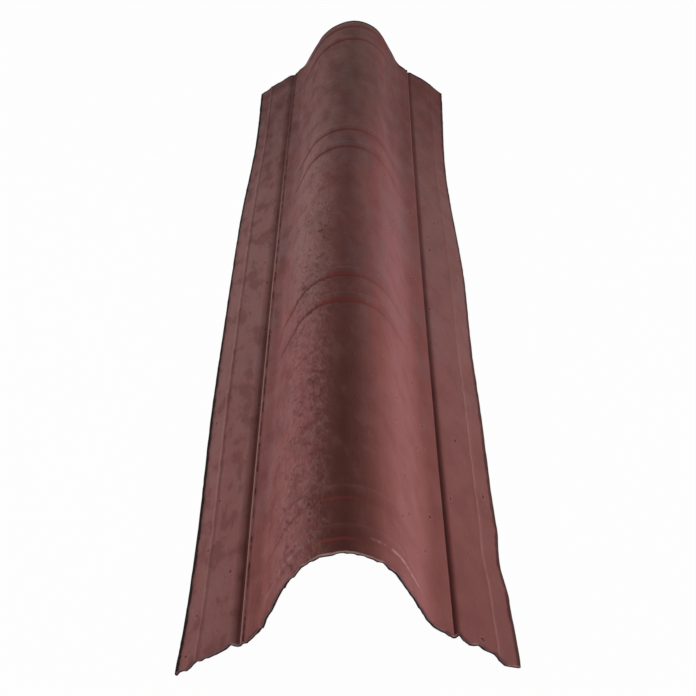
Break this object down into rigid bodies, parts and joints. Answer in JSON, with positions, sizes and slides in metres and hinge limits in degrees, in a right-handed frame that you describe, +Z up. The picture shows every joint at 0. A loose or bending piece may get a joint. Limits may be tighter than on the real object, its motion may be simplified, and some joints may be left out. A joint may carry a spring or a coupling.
{
  "type": "ridge tile",
  "caption": "Long moulded ridge tile with a round roll, pressed cross ribs and a sloping wing on each side, which covers the ridge of a roof and laps over the next tile.",
  "frame": {"origin": "on the ground under the middle of the tile, which lies on the outer edges of its wings", "axes": "+Z up through the crown of the roll, +Y along the tile, +X across it"},
  "size_m": [0.194, 1.06, 0.0814],
  "materials": {
    "bitumen_fibre": "satin"
  },
  "bodies": {
    "root": {"ridge_tile": "bitumen_fibre"}
  },
  "joints": []
}
